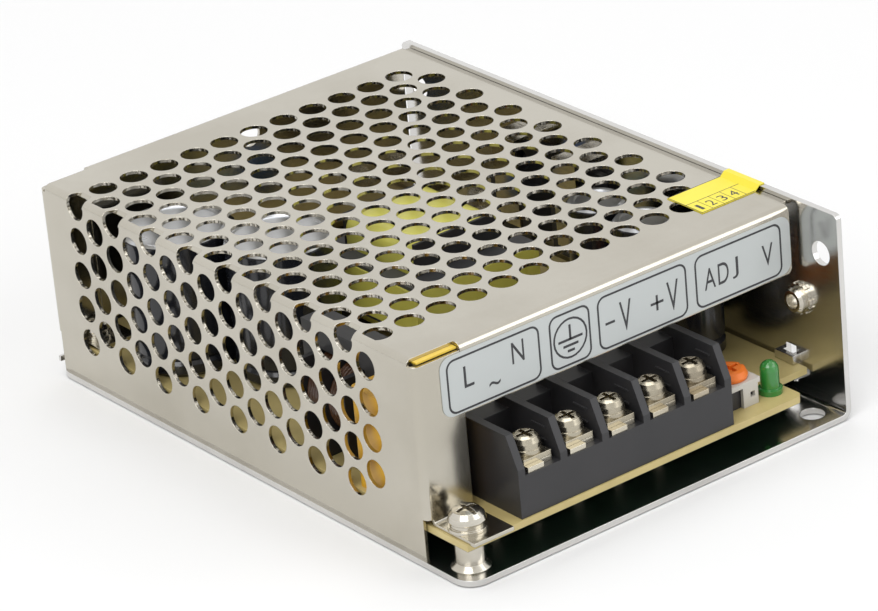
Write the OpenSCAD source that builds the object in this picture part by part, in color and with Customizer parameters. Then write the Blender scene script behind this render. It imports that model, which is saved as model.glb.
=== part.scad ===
// Enclosed switching power supply with a folded mesh cover and an open terminal bay.
// Frame: +Z up, the terminal bay faces -Y, the solid chassis wall is at +X.

/* [Chassis] */
// Width of the whole case
case_w = 78; // [70:1:100]
// Length of the whole case
case_l = 111; // [106:1:135]
// Height of the chassis wall above the underside
wall_h = 35.6; // [34.5:0.1:42]
// Thickness of the chassis sheet
sheet_t = 1.0; // [0.8:0.1:1.4]
// Outer bend radius between floor and wall
bend_r = 1.8; // [1.6:0.1:3]
// Radius of the two free corners of the floor
floor_corner_r = 3.5; // [1:0.5:6]
// Diameter of the fixing holes in wall and floor
fix_d = 4.1; // [3:0.1:5]
// Height of the wall fixing holes above the underside
fix_z = 28; // [24:0.5:31]
// Distance of the fixing holes from the case ends
fix_end = 4.1; // [3.5:0.1:8]
// Distance of the floor fixing holes from the wall's outer face
floor_fix_x = 4.6; // [4:0.1:8]
// Height of the small lip at the rear edge of the floor
lip_h = 2.9; // [2:0.1:4.5]
// Length of the lugs that grip the board's edge
lug_l = 4.4; // [3.5:0.1:6]
// Height of each lug
lug_h = 1.5; // [1.2:0.1:2.4]
// How far the lugs stand in from the wall
lug_out = 1.7; // [1.5:0.1:3]
// How far the lugs sit behind the board's notch
lug_back = 2; // [0.5:0.1:4]

/* [Cover] */
// Thickness of the cover sheet
cover_t = 0.6; // [0.5:0.1:0.8]
// Outer bend radius of the cover
cover_r = 1.2; // [1:0.1:1.6]
// Depth of the open terminal bay in front of the cover
bay_d = 9.9; // [9:0.1:11]
// How far the floor stands out beyond the cover's side
cover_inset = 0.5; // [0.2:0.1:1]
// How far the wall stands up above the cover
wall_lap = 0.75; // [0.3:0.05:1.5]
// Distance of the cover's rear face from the rear end
rear_inset = 0.6; // [0.4:0.1:0.8]
// Gap between the front flange and the terminal block's barriers
flange_gap = 3.05; // [1:0.05:5]
// Width of the upright strips folded in from the side
post_w = 9; // [8:0.1:11]
// Depth of the relief slots at the cover's corners
relief = 1.7; // [1.5:0.1:2.5]
// Length of the screwed foot, from its fold to its free edge
foot_l = 9.2; // [8.5:0.1:9.3]
// Distance of a foot's screw from its fold
foot_in = 4.1; // [3.7:0.1:5]

/* [Perforation] */
// Diameter of the vent holes
vent_d = 4.7; // [3:0.1:5]
// Pitch of the vent holes in one column
vent_pitch = 6.14; // [5.6:0.02:8]
// Distance between neighbouring columns
vent_col = 5.19; // [5:0.01:7]
// Distance from the cover's rear face to the first column
vent_rear = 10.35; // [7:0.05:14]
// Least distance from the cover's front face to the last column
vent_front = 11; // [7:0.5:16]
// Least distance from the cover's right edge to a hole's centre
vent_right = 4.6; // [4:0.1:9]
// Least distance from the floor to a hole's centre
vent_low = 6; // [4:0.1:9]
// How far the hole row on the fold sits below the top
fold_drop = 1.4; // [1.3:0.1:1.8]

/* [Circuit board] */
// Thickness of the board
board_t = 1.2; // [1:0.1:2]
// Height of the standoffs above the floor
standoff_h = 4.6; // [3.5:0.1:6]
// Diameter of the standoffs
standoff_d = 4.8; // [4.5:0.1:5.6]
// Distance from the case front to the board's edge
board_front = 1.5; // [1:0.1:2.5]
// Distance from the cover's rear face to the board's edge
board_rear = 1.6; // [1.2:0.1:3]
// Board that is left between the lamp's axis and the notch
lamp_room = 2.85; // [2.4:0.05:4]
// Depth of the notch at the board's front right corner
notch_d = 6.8; // [5:0.1:8]
// Thread diameter of all screws
screw_d = 3; // [2.6:0.1:3]
// Distance of the board screws from the case sides
screw_in = 4.5; // [4.4:0.1:5.6]

/* [Terminal block] */
// Pitch of the terminals
term_pitch = 8.3; // [7.8:0.1:8.6]
// Thickness of the barriers
barrier_t = 1.35; // [1:0.05:1.8]
// Number of terminals
term_n = 5; // [5]
// Depth of the block from front to back
term_d = 15.6; // [14.5:0.1:17]
// Height of the cell floor above the board
cell_h = 7; // [6:0.1:8]
// Height of the barriers above the board
barrier_h = 13.4; // [11:0.1:13.6]
// How far the barriers' front edges lean back
barrier_lean = 2.4; // [1:0.1:3.4]
// Distance from the case's left side to the block
term_left = 12.3; // [11.5:0.1:13]
// Distance of the screw axis behind the block's front
term_axis = 3.9; // [3.6:0.1:4.5]
// Side of the square clamps
clamp_w = 5.4; // [5:0.1:6.1]
// Width of the small front tab of each plate
tab_w = 3.1; // [2:0.1:4]
// Thickness of the clamps and of the metal plates
plate_t = 0.9; // [0.7:0.1:1.1]
// Diameter of the terminal screw heads
head_d = 4.7; // [4.4:0.1:5.4]
// Height of the terminal screw heads
head_h = 2.1; // [1.6:0.1:2.4]

/* [Trimmer and lamp] */
// Side of the trimmer's body
trim_w = 6.8; // [6:0.1:7.4]
// Height of the trimmer's body
trim_h = 4.4; // [3.5:0.1:6]
// Diameter of the trimmer's rotor
rotor_d = 6; // [5:0.1:6]
// Gap between the terminal block and the trimmer
trim_gap = 1.5; // [1:0.1:2.4]
// Thickness of the trimmer's pale rim
rim_t = 0.9; // [0.6:0.1:1.2]
// Distance from the trimmer's axis to the lamp's axis
lamp_gap = 6.6; // [6.2:0.1:7.5]
// Diameter of the lamp
lamp_d = 3.1; // [2.8:0.1:4]
// Height of the lamp above its collar
lamp_h = 4.6; // [3.5:0.1:6]

/* [Inner parts] */
// Diameter of the two mains capacitors
bulk_d = 18; // [16:0.5:18.5]
// Height of the mains capacitors
bulk_h = 23.6; // [18:0.1:24]
// Side of the transformer's taped winding
wind_w = 18; // [15:0.5:19]
// Height of the transformer above the board
wind_top = 22.6; // [18:0.1:24]
// Thickness of the transformer's core
core_t = 9; // [6:0.5:11]
// Width of the core's outer legs
leg_w = 3; // [2.5:0.1:4]
// Diameter of the filter choke's windings
choke_d = 12.6; // [10:0.2:14]
// Length of the filter choke's core
choke_l = 20; // [18:0.5:21]
// Diameter of the output capacitors
out_cap_d = 10; // [8:0.5:10.5]
// Height of the output capacitors
out_cap_h = 20; // [14:0.5:24]
// Length of the film capacitor
film_l = 17; // [15:0.5:17.5]
// Thickness of the film capacitor
film_w = 9.4; // [7:0.2:9.6]
// Height of the film capacitor
film_h = 17.2; // [12:0.1:22]
// Gap between the inner parts and the board's edges
edge_gap = 0.9; // [0.6:0.1:1.2]
// Diameter of the safety capacitors
disc_d = 8; // [6:0.5:9]
// Diameter of the fuse
fuse_d = 5.2; // [4.5:0.1:6]
// Length of the fuse
fuse_l = 20; // [18:0.5:22]

/* [Hidden] */
$fn = 48;
slack = 0.1;          // clearance between sheet edges and pieces that slide past
bore_slack = 0.2;     // clearance in diameter round a loose screw
left_x = -case_w / 2;
right_x = case_w / 2;
front_y = -case_l / 2;
rear_y = case_l / 2;
wall_in = right_x - sheet_t;
cov_l = left_x + cover_inset;
cov_r = wall_in - slack;
cov_f = front_y + bay_d;
cov_b = rear_y - rear_inset;
cov_top = wall_h - wall_lap;
bend_in = cover_r - cover_t;
board_bot = sheet_t + standoff_h;
board_top = board_bot + board_t;
board_l = cov_l + cover_t + 0.3;
board_r = wall_in - 0.6;
board_f = front_y + board_front;
board_b = cov_b - cover_t - board_rear;
foot_top = board_top + cover_t;
// axes of the two screwed feet and of the rear right standoff
screw_x = left_x + screw_in;
foot_y = cov_f - bend_in - foot_in;
rear_foot_y = cov_b - cover_t - bend_in - foot_in;
rear_right_x = wall_in - screw_in - 0.7;
stand_pts = [[screw_x, foot_y], [screw_x, rear_foot_y], [rear_right_x, rear_foot_y - 7]];
// terminal block
term_w = term_n * term_pitch + barrier_t;
term_x0 = left_x + term_left;
term_f = board_f + 0.3;
term_back = term_f + term_d;
cell_z = board_top + cell_h;
flange_z = board_top + barrier_h + flange_gap;
plate_top = cell_z + plate_t;
clamp_top = plate_top + plate_t;
washer_t = 0.8;
head_z = clamp_top + washer_t;
shank_l = 6.2;
axis_y = term_f + term_axis;
function term_x(i) = term_x0 + barrier_t / 2 + term_pitch * (i - 0.5);
// trimmer and lamp
trim_x = term_x0 + term_w + trim_gap + trim_w / 2;
trim_y = board_f + 6.6;
trim_top = board_top + trim_h;
lamp_x = trim_x + lamp_gap;
lamp_y = board_f + 4.6;
notch_x = lamp_x + lamp_room;
// left row, from the front: film capacitor, filter choke, two mains capacitors
film_x = board_l + film_w / 2 + edge_gap;
film_y = cov_f + cover_t + 2 + film_l / 2;
choke_x = board_l + choke_d / 2 + 4;
choke_y = film_y + film_l / 2 + 1.5 + choke_l / 2;
choke_z = board_top + choke_d / 2 + 2.6;
bulk_x = board_l + bulk_d / 2 + edge_gap;
bulk_y = rear_foot_y - 5 - bulk_d / 2 - 3.3;
bulk_pts = [[bulk_x, bulk_y], [bulk_x + bulk_d * 0.515, bulk_y - bulk_d * 0.9]];
// middle: the transformer, with the small parts before and behind it
core_x = bulk_pts[1][0] + bulk_d / 2 + 1.2 + leg_w + wind_w / 2;
core_y = term_back + 45.1;
yoke_w = 4;
core_z = board_top + wind_top / 2 + 1.3;
core_half = wind_w / 2 + 0.6;
therm_x = film_x + film_w / 2 + 6;
therm_y = term_back + 5.3;
fuse_x = therm_x + 13;
fuse_y = therm_y + 5.8;
chip_at = [core_x - 2, core_y - core_half - yoke_w - 6.7];
opto_at = [chip_at[0] + 12, chip_at[1] + 0.6];
disc_at = [[core_x - 8, term_back + disc_d * 0.25 + 0.3], [core_x + 15, core_y + core_half + yoke_w + 13]];
resistor_at = [[core_x - 10, core_y + core_half + yoke_w + 4], [core_x - 10, core_y + core_half + yoke_w + 10],
    [core_x + 9, core_y + core_half + yoke_w + 5]];
bridge_x = screw_x + 18;
bridge_y = board_b - 6;
lead_d = 0.8;
// right row against the wall: two packages, three output capacitors and a coil
package_x = wall_in - 0.1 - 2.65;
out_x = wall_in - out_cap_d / 2 - 3.4;
out_y = term_back + out_cap_d / 2 + 4;
diode_y = out_y + 2.5 * out_cap_d + 10.1;
switch_y = diode_y + 16;
coil_d = 10.5;
coil_x = out_x - out_cap_d / 2 - coil_d / 2 - 3.2;
coil_y = out_y + 5;
function pair(x, y, s) = [for (k = [-1, 1]) [x + k * s / 2, y]];
function dip_pts(at, n) = [for (s = [-1, 1]) for (i = [0 : n - 1])
    [at[0] + s * 3.81, at[1] + (i - (n - 1) / 2) * 2.54]];
function package_pts(y) = [for (p = [-2.54, 0, 2.54]) [package_x, y + p]];
bridge_pts = [for (x = [-6, -2, 2, 6]) [bridge_x + x, bridge_y]];
resistor_pts = [for (p = resistor_at) each pair(p[0], p[1], 12.7)];
disc_pts = [for (p = disc_at) each pair(p[0], p[1], 5)];
drill_pts = concat(pair(lamp_x, lamp_y, 2.54), pair(therm_x, therm_y, 5), dip_pts(chip_at, 4),
    dip_pts(opto_at, 2), package_pts(switch_y), package_pts(diode_y), bridge_pts, resistor_pts, disc_pts);
nut_y = cov_f - 0.5;
nut_z = flange_z - 4.65;
lug_y = board_f + notch_d + lug_back;

// ---- shared shapes ----
// quarter ring of a sheet bend in the first quadrant
module bend2d(r, t) {
    intersection() {
        difference() { circle(r = r); circle(r = r - t); }
        square(r);
    }
}
// draws a profile given in X and Z along the Y axis from y0 to y1
module along_y(y0, y1) {
    translate([0, y1, 0]) rotate([90, 0, 0]) linear_extrude(y1 - y0) children();
}
// draws a profile given in Y and Z along the X axis from x0 to x1
module along_x(x0, x1) {
    translate([x0, 0, 0]) rotate([90, 0, 90]) linear_extrude(x1 - x0) children();
}
module block(x0, x1, y0, y1, z0, z1) {
    translate([x0, y0, z0]) cube([x1 - x0, y1 - y0, z1 - z0]);
}
// removes the material outside a rounded corner of radius r that points to +X +Y
module corner_cut(r, h) {
    translate([0, 0, -1]) linear_extrude(h + 2) difference() {
        translate([-r, -r]) square(r + 1);
        translate([-r, -r]) circle(r = r);
    }
}
// wire leads that run from z1 down through the board
module leads(pts, z1) {
    for (p = pts) translate([p[0], p[1], board_bot - 1]) cylinder(d = lead_d, h = z1 - board_bot + 1, $fn = 16);
}
module cross_recess(w, t, d) {
    translate([-w / 2, -t / 2, -d]) cube([w, t, d + 1]);
    translate([-t / 2, -w / 2, -d]) cube([t, w, d + 1]);
}
// electrolytic can with a rolled groove near its foot and a shallow top dish
module can(d, h) {
    rotate_extrude($fn = 40) polygon([[0, 0], [d / 2 - 0.7, 0], [d / 2, 0.7], [d / 2, 2.2],
        [d / 2 - 0.5, 2.8], [d / 2, 3.4], [d / 2, h - 0.6], [d / 2 - 0.6, h],
        [d / 2 - 1.3, h], [d / 2 - 1.5, h - 0.3], [0, h - 0.3]]);
}

// ---- chassis: floor and wall folded from one sheet ----
module base_chassis() {
    color([0.78, 0.78, 0.77]) difference() {
        union() {
            along_y(front_y, rear_y) union() {
                translate([left_x, 0]) square([case_w - bend_r, sheet_t]);
                translate([wall_in, bend_r]) square([sheet_t, wall_h - bend_r]);
                translate([right_x - bend_r, bend_r]) mirror([0, 1]) bend2d(bend_r, sheet_t);
            }
            // small lip folded up at the rear edge, beside the cover
            along_y(rear_y - rear_inset + slack, rear_y)
                translate([left_x + cover_inset, sheet_t]) square([8, lip_h - sheet_t]);
            // two lugs pressed out of the wall, above and below the board's edge
            wall_lug(board_top + slack);
            wall_lug(board_bot - slack - lug_h);
        }
        // rounded free corners of the floor
        translate([left_x, front_y, 0]) rotate(180) corner_cut(floor_corner_r, sheet_t);
        translate([left_x, rear_y, 0]) rotate(90) corner_cut(floor_corner_r, sheet_t);
        // rounded upper corners of the wall
        translate([wall_in, front_y, wall_h]) rotate([0, 90, 0]) rotate([0, 0, 180])
            corner_cut(1, sheet_t);
        translate([wall_in, rear_y, wall_h]) rotate([0, 90, 0]) rotate([0, 0, 90])
            corner_cut(1.2, sheet_t);
        // fixing holes
        for (y = [front_y + fix_end, rear_y - fix_end]) {
            translate([wall_in - 1, y, fix_z]) rotate([0, 90, 0]) cylinder(d = fix_d, h = sheet_t + 2);
            translate([right_x - floor_fix_x, y, -1]) cylinder(d = fix_d, h = sheet_t + 2);
        }
        // seats of the pressed standoffs
        for (p = stand_pts) translate([p[0], p[1], -1]) cylinder(d = 4, h = sheet_t + 2);
        // seat of the press nut
        translate([wall_in - 1, nut_y, nut_z]) rotate([0, 90, 0]) cylinder(d = screw_d + 1.2, h = sheet_t + 2);
        // hollows behind the pressed lugs
        for (z = [board_top + slack, board_bot - slack - lug_h])
            block(wall_in - lug_out + 1, right_x + 1, lug_y + 1, lug_y + lug_l - 1, z - 1, z + lug_h + 1);
    }
}
module wall_lug(z) {
    block(wall_in - lug_out, wall_in + 0.2, lug_y, lug_y + lug_l, z, z + lug_h);
}

// ---- cover: top, side, flanges, strips and feet folded from one perforated sheet ----
cols = floor((cov_b - cov_f - vent_rear - vent_front) / vent_col) + 1;
top_room = cov_r - cov_l - vent_right;
side_room = cov_top - sheet_t - vent_low;
function col_y(i) = cov_b - vent_rear - vent_col * i;
// distance from the fold line of each hole in column i, where odd columns are shifted half a pitch
function rows(i, room) = [for (k = [(i % 2 == 0 ? 1 : 0.5) : 1 : 40])
    if (vent_pitch * k <= room) vent_pitch * k];
module cover() {
    color([0.72, 0.70, 0.65]) union() {
        difference() {
            union() {
                // top
                translate([0, 0, cov_top - cover_t]) linear_extrude(cover_t) difference() {
                    union() {
                        translate([cov_l + cover_r, cov_f + relief])
                            square([cov_r - cov_l - cover_r, cov_b - cov_f - 2 * relief]);
                        translate([cov_l + post_w, cov_f + cover_r])
                            square([cov_r - slack - 0.9 - cov_l - post_w, cov_b - cov_f - 2 * cover_r]);
                    }
                    for (i = [0 : cols - 1]) {
                        for (k = rows(i, top_room)) translate([cov_l - 0.2 + k, col_y(i)]) circle(d = vent_d);
                        if (i % 2 == 0) translate([cov_l - 0.2, col_y(i)]) circle(d = vent_d);
                    }
                }
                // side
                translate([cov_l, 0, 0]) rotate([90, 0, 90]) linear_extrude(cover_t) difference() {
                    translate([cov_f + cover_r, sheet_t])
                        square([cov_b - cov_f - 2 * cover_r, cov_top - cover_r - sheet_t]);
                    for (i = [0 : cols - 1]) {
                        for (k = rows(i, side_room - fold_drop)) translate([col_y(i), cov_top - fold_drop - k])
                            circle(d = vent_d);
                        if (i % 2 == 0) translate([col_y(i), cov_top - fold_drop]) circle(d = vent_d);
                    }
                }
                // fold between top and side
                along_y(cov_f + relief, cov_b - relief)
                    translate([cov_l + cover_r, cov_top - cover_r]) mirror([1, 0]) bend2d(cover_r, cover_t);
            }
            for (i = [0 : 2 : cols - 1]) translate([cov_l + cover_r, col_y(i), cov_top - cover_r])
                rotate([0, -45, 0]) translate([0, 0, -0.2]) cylinder(d = vent_d - 0.1, h = 4);
        }
        // flange over the terminals
        end_flange(flange_z, false);
        // full end panel at the rear
        end_flange(sheet_t + slack, true);
        // upright strips folded in from the side, each with a screwed foot
        upright(false);
        upright(true);
    }
}
module end_flange(z0, rear) {
    x0 = cov_l + post_w;
    x1 = cov_r - slack - 0.9;
    translate([0, rear ? cov_b : cov_f, 0]) mirror([0, rear ? 1 : 0, 0]) difference() {
        along_x(x0, x1) union() {
            square_yz(0, cover_t, z0, cov_top - cover_r);
            translate([cover_r, cov_top - cover_r]) mirror([1, 0]) bend2d(cover_r, cover_t);
        }
        // rounded lower corner next to the wall
        translate([x1, -1, z0]) rotate([-90, 0, 0]) corner_cut(1, cover_t + 1);
        if (rear) translate([core_x, -1, cov_top - 5.4]) rotate([-90, 0, 0]) cylinder(d = fix_d, h = cover_t + 2);
    }
}
module square_yz(y0, y1, z0, z1) {
    translate([y0, z0]) square([y1 - y0, z1 - z0]);
}
module upright(rear) {
    y0 = rear ? cov_b - cover_t : cov_f;
    z0 = foot_top + bend_in;
    z1 = cov_top - relief * 0.6;
    // strip
    block(cov_l + cover_r, cov_l + post_w - slack, y0, y0 + cover_t, z0, z1);
    // fold from the side into the strip
    translate([cov_l + cover_r, rear ? cov_b - cover_r : cov_f + cover_r, z0]) linear_extrude(z1 - z0)
        rotate(rear ? 90 : 180) bend2d(cover_r, cover_t);
    // fold from the strip into the foot
    along_x(cov_l + cover_r, cov_l + post_w - slack)
        translate([y0 - bend_in, z0]) mirror([0, 1]) bend2d(cover_r, cover_t);
    // foot with its screw hole
    difference() {
        block(cov_l + cover_r, cov_l + post_w - slack, y0 - bend_in - foot_l, y0 - bend_in, board_top, foot_top);
        translate([screw_x, y0 - bend_in - foot_in, 0]) cylinder(d = screw_d + 0.4, h = cov_top);
    }
}

// ---- label strip on the flange and number sticker on the top ----
module front_label() {
    x0 = cov_l + post_w - 4.2;
    x1 = cov_r - 1.2;
    z0 = flange_z + 0.3;
    z1 = cov_top - cover_r - 0.1;
    color([0.80, 0.82, 0.82]) translate([x0, cov_f, z0]) rotate([90, 0, 0]) linear_extrude(0.15)
        rounded(x1 - x0, z1 - z0, 2);
}
module rounded(w, h, r) {
    difference() {
        square([w, h]);
        for (c = [[0, 0, 180], [w, 0, -90], [w, h, 0], [0, h, 90]]) translate([c[0], c[1]]) rotate(c[2])
            difference() { translate([-r, -r]) square(r + 1); translate([-r, -r]) circle(r = r); }
    }
}
// sticker that runs from the cover over the top edge of the wall
module number_sticker() {
    y0 = cov_f + 8;
    film = 0.15;
    color([0.93, 0.86, 0.25]) along_y(y0, y0 + 8.5) polygon([[right_x - 13.1, cov_top], [cov_r - 0.8, cov_top],
        [wall_in, wall_h], [right_x, wall_h], [right_x, wall_h + film], [wall_in - 0.06, wall_h + film],
        [cov_r - 0.86, cov_top + film], [right_x - 13.1, cov_top + film]]);
}
module insulation_strip() {
    color([0.90, 0.78, 0.15])
        block(cov_l + cover_r, cov_l + post_w - slack, cov_f + cover_t + slack, cov_f + 6,
            cov_top - cover_t - 0.3, cov_top - cover_t);
}
module insulation_sheet() {
    color([0.86, 0.86, 0.80])
        block(board_l + 9, board_r - 10, board_f + 16, board_b - 9, sheet_t, sheet_t + 0.3);
}

// ---- board and its fixing ----
module standoffs() {
    color([0.80, 0.79, 0.76]) for (p = stand_pts) translate([p[0], p[1], 0]) difference() {
        union() {
            cylinder(d = 4, h = sheet_t);
            translate([0, 0, sheet_t]) cylinder(d = standoff_d, h = standoff_h);
            translate([0, 0, sheet_t]) cylinder(d1 = standoff_d + 1.6, d2 = standoff_d, h = 0.8);
        }
        translate([0, 0, -1]) cylinder(d = screw_d + 0.05, h = sheet_t + standoff_h + 2);
    }
}
// screw with a spring washer and a flat washer, standing on z
module board_screw(z) {
    difference() {
        union() {
            translate([0, 0, z]) cylinder(d = 6.2, h = 0.5);
            translate([0, 0, z + 0.5]) cylinder(d = 5.4, h = 0.8);
            translate([0, 0, z + 1.3]) rotate_extrude() polygon([[0, 0], [2.9, 0], [3, 0.3], [2.8, 1.1],
                [2.2, 1.8], [1.2, 2.1], [0, 2.2]]);
            translate([0, 0, sheet_t + 0.6]) cylinder(d = screw_d, h = z - sheet_t - 0.6);
        }
        translate([0, 0, z + 3.6]) cross_recess(3.4, 0.7, 1.5);
        translate([0, 0, z + 3.6]) translate([-0.3, -5, -0.6]) cube([0.6, 10, 2]);
    }
}
module board_screws() {
    color([0.75, 0.74, 0.70]) {
        translate([stand_pts[0][0], stand_pts[0][1], 0]) board_screw(foot_top);
        translate([stand_pts[1][0], stand_pts[1][1], 0]) board_screw(foot_top);
        translate([stand_pts[2][0], stand_pts[2][1], 0]) board_screw(board_top);
    }
}
// threaded bush pressed into the wall, with a toothed collar and a rounded body
module wall_nut() {
    color([0.80, 0.78, 0.74]) translate([wall_in, nut_y, nut_z]) rotate([0, -90, 0]) difference() {
        union() {
            translate([0, 0, -sheet_t]) cylinder(d = screw_d + 1.15, h = sheet_t + 0.2);
            for (a = [0 : 30 : 330]) rotate(a) translate([-0.4, -2.7, 0]) cube([0.8, 2.7, 0.6]);
            cylinder(d = 4.9, h = 0.6);
            rotate_extrude() polygon([[0, 0.6], [2.2, 0.6], [2.2, 1.5], [1.8, 2], [0, 2]]);
        }
        translate([0, 0, -sheet_t - 1]) cylinder(d = screw_d - 0.5, h = sheet_t + 5);
    }
}
module circuit_board() {
    color([0.80, 0.74, 0.50]) translate([0, 0, board_bot]) linear_extrude(board_t) difference() {
        translate([board_l, board_f]) square([board_r - board_l, board_b - board_f]);
        translate([notch_x, board_f - 1]) square([case_w, notch_d + 1]);
        translate([notch_x, board_f]) rotate(45) square(1.2, center = true);
        for (p = stand_pts) translate([p[0], p[1]]) circle(d = screw_d + 0.3);
        for (i = [1 : term_n]) translate([term_x(i) - 0.8, term_f + term_d - 2.2]) square([1.6, 1.2]);
        for (p = drill_pts) translate([p[0], p[1]]) circle(d = lead_d + 0.3, $fn = 16);
    }
}

// ---- barrier terminal block ----
module terminal_block() {
    back = term_back;
    color([0.13, 0.13, 0.14]) difference() {
        union() {
            // body under the cells
            block(term_x0, term_x0 + term_w, term_f, back, board_top, cell_z);
            // rear wall
            block(term_x0, term_x0 + term_w, back - 3.6, back, cell_z, board_top + barrier_h - 1.6);
            // barriers with a sloping front edge
            for (i = [0 : term_n]) along_x(term_x0 + term_pitch * i, term_x0 + term_pitch * i + barrier_t)
                polygon([[term_f, cell_z - 1], [term_f, cell_z + 1.2], [term_f + barrier_lean, board_top + barrier_h],
                    [back, board_top + barrier_h], [back, cell_z - 1]]);
            // two small ledges on each side of every cell
            for (i = [1 : term_n]) for (z = [cell_z + 2.2, cell_z + 4.4]) {
                block(term_x(i) - cell_half, term_x(i) - cell_half + 0.25, term_f + 3.2, term_f + 6.4, z, z + 0.3);
                block(term_x(i) + cell_half - 0.25, term_x(i) + cell_half, term_f + 3.2, term_f + 6.4, z, z + 0.3);
            }
        }
        for (i = [1 : term_n]) {
            // threaded socket of each screw
            translate([term_x(i), axis_y, cell_z - 5.2]) cylinder(d = screw_d + bore_slack, h = 6);
            // slot for the plate's leg
            block(term_x(i) - 0.8, term_x(i) + 0.8, back - 2.2, back - 1, board_top - 1, cell_z + 1.6);
            // pocket of the plate in the rear wall
            block(term_x(i) - clamp_w / 2 - slack, term_x(i) + clamp_w / 2 + slack, back - 3.8, back - 1,
                cell_z, cell_z + plate_t + slack);
        }
    }
}
cell_half = (term_pitch - barrier_t) / 2;
module terminal_plates() {
    back = term_back;
    color([0.80, 0.79, 0.74]) for (i = [1 : term_n]) difference() {
        union() {
            block(term_x(i) - clamp_w / 2, term_x(i) + clamp_w / 2, axis_y - clamp_w / 2, back - 1.1, cell_z,
                plate_top);
            block(term_x(i) - clamp_w / 2, term_x(i) - clamp_w / 2 + tab_w, term_f + 0.2, axis_y, cell_z, plate_top);
            block(term_x(i) - 0.7, term_x(i) + 0.7, back - 2.1, back - 1.1, board_bot - 1.4, cell_z);
        }
        translate([term_x(i), axis_y, cell_z - 1]) cylinder(d = screw_d + bore_slack, h = plate_t + 2);
    }
}
// square clamp that the screw presses down
module terminal_clamp(i) {
    color([0.72, 0.71, 0.66]) difference() {
        block(term_x(i) - clamp_w / 2, term_x(i) + clamp_w / 2, axis_y - clamp_w / 2, axis_y + clamp_w / 2,
            plate_top, clamp_top);
        translate([term_x(i), axis_y, plate_top - 1]) cylinder(d = screw_d + bore_slack, h = plate_t + 2);
    }
}
// pan head screw with its spring washer
module terminal_screw(i) {
    color([0.72, 0.70, 0.64]) translate([term_x(i), axis_y, 0]) {
        difference() {
            union() {
                translate([0, 0, head_z]) rotate_extrude() polygon([[0, 0], [head_d / 2, 0],
                    [head_d / 2, head_h * 0.45], [head_d / 2 - 0.35, head_h * 0.85], [head_d / 2 - 0.9, head_h],
                    [0, head_h]]);
                translate([0, 0, head_z - shank_l]) cylinder(d = screw_d, h = shank_l);
            }
            translate([0, 0, head_z + head_h]) cross_recess(3.2, 0.7, 1.3);
        }
        // split spring washer
        difference() {
            translate([0, 0, clamp_top]) cylinder(d = head_d + 0.3, h = washer_t);
            translate([0, 0, clamp_top - 1]) cylinder(d = screw_d + bore_slack, h = washer_t + 2);
            translate([0, 0, clamp_top + washer_t / 2]) rotate([0, 0, 200]) translate([0, -0.2, -1])
                cube([head_d, 0.4, 2]);
        }
    }
}

// ---- trimmer and lamp ----
module trimmer_body() {
    color([0.10, 0.10, 0.11]) translate([trim_x, trim_y, board_top]) difference() {
        translate([-trim_w / 2 + 0.3, -trim_w / 2 + 0.7, 0]) cube([trim_w - 0.6, trim_w - 1.1, trim_h - rim_t]);
        translate([0, 0, trim_h - 2]) cylinder(d = 2, h = 3);
    }
}
// pale rim round the rotor, with a broad leg in front and two stop posts behind
module trimmer_rim() {
    color([0.90, 0.88, 0.84]) translate([trim_x, trim_y, board_top]) difference() {
        union() {
            translate([-trim_w / 2, -trim_w / 2, trim_h - rim_t]) cube([trim_w, trim_w, rim_t]);
            translate([-0.2, -trim_w / 2, 0]) cube([3.1, 0.65, trim_h - rim_t]);
            for (x = [-0.6, 0.6]) translate([x, rotor_d / 2 + 0.35, trim_h - 0.1]) cylinder(d = 0.5, h = 1.7, $fn = 16);
        }
        translate([1.3, -trim_w / 2 - 1, 1.5]) cube([0.9, 1.9, 0.9]);
        translate([0, 0, trim_h - 2]) cylinder(d = 2, h = 3);
    }
}
module trimmer_rotor() {
    color([0.93, 0.42, 0.08]) translate([trim_x, trim_y, trim_top + 0.05]) difference() {
        union() {
            rotate_extrude() polygon([[0, 0], [rotor_d / 2 - 0.1, 0], [rotor_d / 2, 0.5], [rotor_d / 2 - 0.4, 1.4],
                [rotor_d / 2 - 1, 1.6], [0, 1.6]]);
            translate([0, 0, -1.6]) cylinder(d = 1.8, h = 1.8);
        }
        translate([0, 0, 1.6]) cross_recess(3.4, 0.7, 0.8);
        translate([rotor_d / 2 - 1, -0.4, 1]) cube([2, 0.8, 1]);
    }
}
module indicator_lamp() {
    color([0.25, 0.62, 0.25]) union() {
        leads(pair(lamp_x, lamp_y, 2.54), board_top + 0.5);
        translate([lamp_x, lamp_y, board_top]) rotate_extrude($fn = 32) polygon([[0, 0],
            [lamp_d / 2 + 0.45, 0], [lamp_d / 2 + 0.45, 0.9], [lamp_d / 2, 1],
            for (a = [0 : 15 : 90]) [lamp_d / 2 * cos(a), lamp_h + 1 - lamp_d / 2 + lamp_d / 2 * sin(a)]]);
    }
}

// ---- inner parts that show through the mesh ----
module mains_capacitors() {
    color([0.16, 0.17, 0.20]) for (p = bulk_pts) translate([p[0], p[1], board_top]) can(bulk_d, bulk_h);
}
module film_capacitor() {
    color([0.86, 0.66, 0.12]) translate([film_x - film_w / 2, film_y - film_l / 2, board_top]) difference() {
        linear_extrude(film_h) rounded(film_w, film_l, 0.8);
        translate([1.2, 1.2, -1]) cube([film_w - 2.4, film_l - 2.4, 1.5]);
    }
}
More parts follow.
